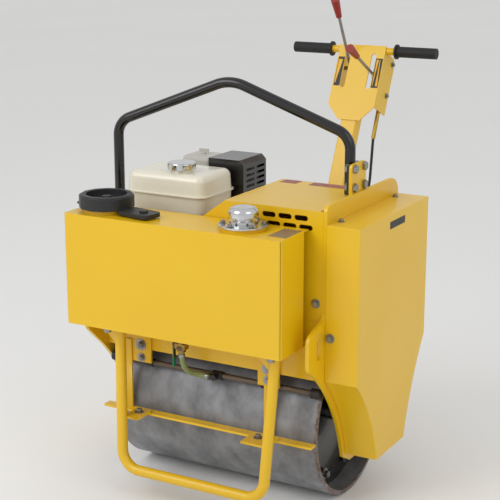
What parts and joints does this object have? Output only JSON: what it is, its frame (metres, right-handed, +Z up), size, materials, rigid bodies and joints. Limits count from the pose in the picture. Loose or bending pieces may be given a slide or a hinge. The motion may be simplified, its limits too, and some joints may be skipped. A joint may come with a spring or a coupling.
{
  "type": "vibratory road roller",
  "caption": "Walk-behind single-drum vibratory roller with a petrol engine, front water tank, lifting arch, drive cover, steering handle and fold-down rear stand.",
  "frame": {"origin": "On the floor directly under the middle of the drum", "axes": "-Y is the front with the water tank, +X is the drive-cover side along the drum's axle, +Z is up"},
  "size_m": [0.7704, 1.1124, 1.2391],
  "materials": {
    "drum_steel": "bare rolled steel with mill scale, rust at the rim",
    "black_paint": "gloss black enamel",
    "axle_steel": "turned steel",
    "yellow_enamel": "gloss safety yellow enamel, lightly soiled",
    "black_plastic": "moulded black plastic",
    "chrome_cap": "bright plated steel",
    "pipe_steel": "weathered brown-grey pipe",
    "valve_brass": "plain brass",
    "hose_plastic": "translucent green hose",
    "engine_alloy": "dark cast metal",
    "starter_paint": "satin dark enamel",
    "cream_enamel": "gloss cream enamel",
    "grey_plastic": "light grey moulded plastic",
    "muffler_steel": "heat-stained sheet steel",
    "black_rubber": "black rubber grip",
    "lever_steel": "zinc plated rod",
    "red_plastic": "dull red knob",
    "sleeve_brass": "yellow passivated ferrule",
    "cable_rubber": "black cable sheath"
  },
  "bodies": {
    "chassis": {"air_cleaner": "grey_plastic", "arch_bolts": "lever_steel", "arch_bracket_left": "yellow_enamel", "arch_bracket_right": "yellow_enamel", "axle_left": "axle_steel", "axle_right": "axle_steel", "breather_cap": "chrome_cap", "cable_sleeve": "sleeve_brass", "carburettor": "engine_alloy", "control_cable": "cable_rubber", "control_levers": "lever_steel", "drain_valve": "valve_brass", "drive_cover": "yellow_enamel", "drive_housing": "engine_alloy", "engine_crankcase": "engine_alloy", "engine_cylinder": "engine_alloy", "engine_deck": "yellow_enamel", "filler_cap": "black_plastic", "front_beam": "yellow_enamel", "front_guard": "yellow_enamel", "fuel_cap": "chrome_cap", "fuel_tank": "cream_enamel", "guard_bracket_left": "yellow_enamel", "guard_bracket_right": "yellow_enamel", "handle_bracket": "yellow_enamel", "handle_column": "yellow_enamel", "handle_grips": "black_rubber", "handle_head": "yellow_enamel", "handlebar": "yellow_enamel", "hood": "yellow_enamel", "lever_knobs": "red_plastic", "lifting_arch": "black_paint", "muffler": "muffler_steel", "muffler_guard": "black_paint", "pipe_fittings": "black_plastic", "rear_beam": "yellow_enamel", "recoil_starter": "starter_paint", "scraper_front": "yellow_enamel", "scraper_rear": "yellow_enamel", "side_plate_left": "yellow_enamel", "side_plate_right": "yellow_enamel", "sprinkler_hose": "hose_plastic", "sprinkler_pipe": "pipe_steel", "stand_bracket_left": "yellow_enamel", "stand_bracket_right": "yellow_enamel", "water_tank": "yellow_enamel"},
    "drum": {"drum_shell": "drum_steel", "drum_disc_left": "black_paint", "drum_disc_right": "black_paint"},
    "rear_stand": {"rear_stand": "yellow_enamel"}
  },
  "joints": [
    {"name": "drum_spin", "type": "hinge", "parent": "chassis", "child": "drum", "pos_m": [0, 0, 0.2125], "axis": [1, 0, 0], "continuous": true},
    {"name": "stand_fold", "type": "hinge", "parent": "chassis", "child": "rear_stand", "pos_m": [0, 0.296, 0.392], "axis": [1, 0, 0], "range_deg": [0, 105]}
  ]
}
